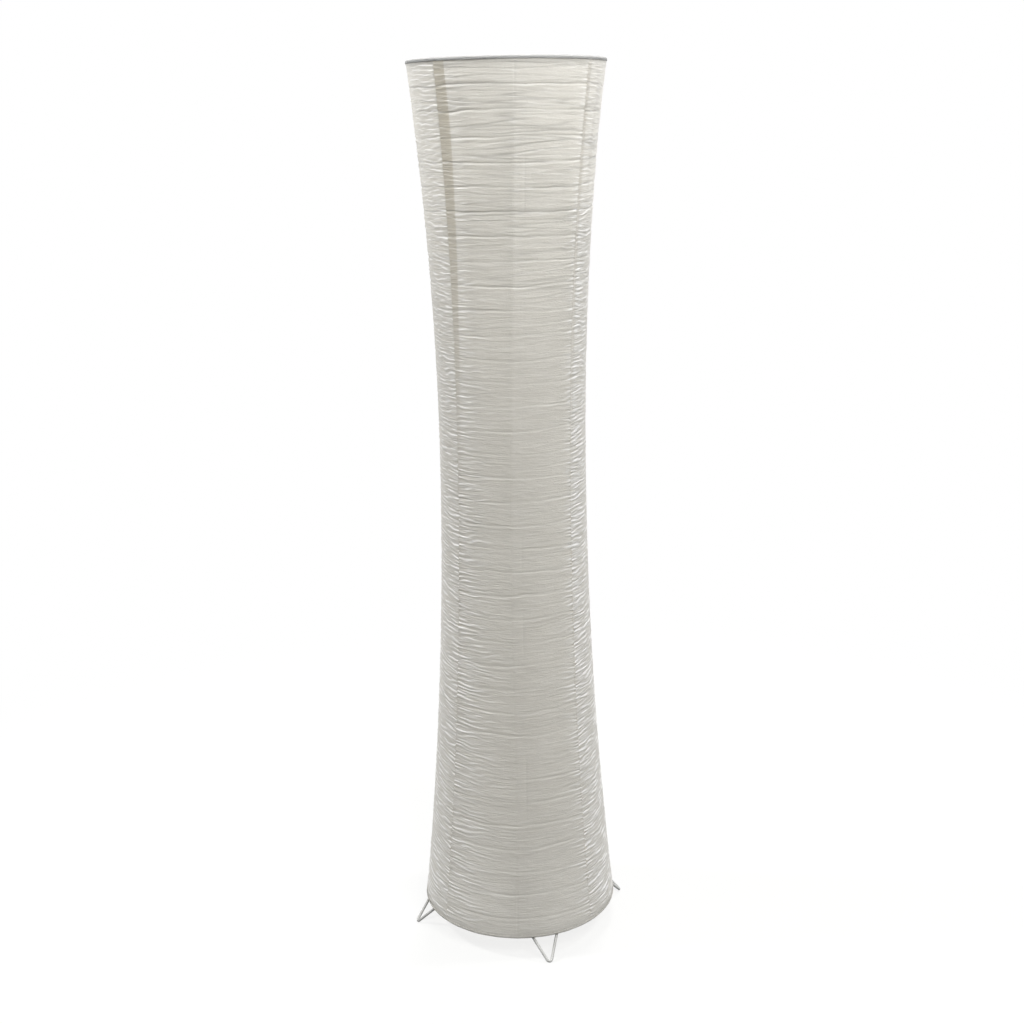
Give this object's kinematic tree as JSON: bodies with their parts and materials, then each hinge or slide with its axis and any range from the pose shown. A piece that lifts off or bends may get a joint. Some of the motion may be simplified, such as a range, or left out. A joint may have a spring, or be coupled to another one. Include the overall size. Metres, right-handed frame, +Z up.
{
  "type": "paper lantern floor lamp",
  "caption": "Floor lamp with a tall waisted sleeve of crinkled white paper on two hoops, on a wire base with V-shaped feet, with an upright bulb inside.",
  "frame": {"origin": "on the floor, under the middle of the lamp", "axes": "+Z up along the sleeve; the four feet stand on the diagonals between X and Y, the four rods on X and Y"},
  "size_m": [0.246, 0.246, 1.07],
  "materials": {
    "crinkled_paper": "crinkled white lantern paper, matt with a faint sheen",
    "seam_paper": "plain paper strip with dried glue",
    "paper_hem": "two layers of paper turned over the hoop",
    "coated_wire": "glossy white coating",
    "hoop_wire": "white coated wire",
    "zinc_steel": "zinc plated",
    "white_plastic": "moulded, satin",
    "brass": "drawn brass",
    "solder": "tinned, dull",
    "black_glass": "black vitreous insulator",
    "nickel_cap": "nickel plated, drawn",
    "bulb_plastic": "moulded",
    "board": "white solder mask",
    "led_phosphor": "yellow phosphor",
    "opal_globe": "opal diffuser, satin"
  },
  "bodies": {
    "stand": {"base_ring": "coated_wire", "hub_plate": "coated_wire", "rod_couplers": "coated_wire", "threaded_nipple": "zinc_steel", "nipple_nut": "zinc_steel", "lock_washer": "zinc_steel", "cord_inlet_bush": "white_plastic", "lampholder_cap": "white_plastic", "grub_screw": "zinc_steel", "lampholder_body": "white_plastic", "lampholder_insert": "white_plastic", "screw_shell": "brass", "live_contact": "brass", "neutral_contact": "brass", "terminal_screws": "brass", "foot_back_right": "coated_wire", "foot_back_left": "coated_wire", "foot_front_left": "coated_wire", "foot_front_right": "coated_wire", "base_spoke_right": "coated_wire", "rod_socket_right": "coated_wire", "rod_lower_right": "coated_wire", "rod_upper_right": "coated_wire", "base_spoke_back": "coated_wire", "rod_socket_back": "coated_wire", "rod_lower_back": "coated_wire", "rod_upper_back": "coated_wire", "base_spoke_left": "coated_wire", "rod_socket_left": "coated_wire", "rod_lower_left": "coated_wire", "rod_upper_left": "coated_wire", "base_spoke_front": "coated_wire", "rod_socket_front": "coated_wire", "rod_lower_front": "coated_wire", "rod_upper_front": "coated_wire"},
    "shade": {"top_hoop": "hoop_wire", "top_hub": "coated_wire", "top_binding": "paper_hem", "seam_strips": "seam_paper", "bottom_hoop": "hoop_wire", "bottom_binding": "paper_hem", "top_spoke_right": "coated_wire", "top_spoke_back": "coated_wire", "top_spoke_left": "coated_wire", "top_spoke_front": "coated_wire", "rod_cap_right": "coated_wire", "rod_cap_back": "coated_wire", "rod_cap_left": "coated_wire", "rod_cap_front": "coated_wire", "paper_gore_front": "crinkled_paper", "paper_gore_right": "crinkled_paper", "paper_gore_back": "crinkled_paper", "paper_gore_left": "crinkled_paper"},
    "bulb_pip": {"bulb_contact": "solder"},
    "bulb": {"bulb_insulator": "black_glass", "bulb_cap": "nickel_cap", "bulb_housing": "bulb_plastic", "led_board": "board", "led_chips": "led_phosphor", "bulb_globe": "opal_globe"}
  },
  "joints": [
    {"name": "shade_lift", "type": "slide", "parent": "stand", "child": "shade", "axis": [0, 0, 1], "range_m": [0, 1.05]},
    {"name": "bulb_rise", "type": "slide", "parent": "stand", "child": "bulb_pip", "axis": [0, 0, 1], "range_m": [0, 0.01815]},
    {"name": "bulb_turn", "type": "hinge", "parent": "bulb_pip", "child": "bulb", "pos_m": [0, 0, 0.08], "axis": [0, 0, 1], "range_deg": [0, 1800]}
  ],
  "couplings": [
    {"joint": "bulb_rise", "follows": "bulb_turn", "m_per_rad": 0.00057773}
  ]
}
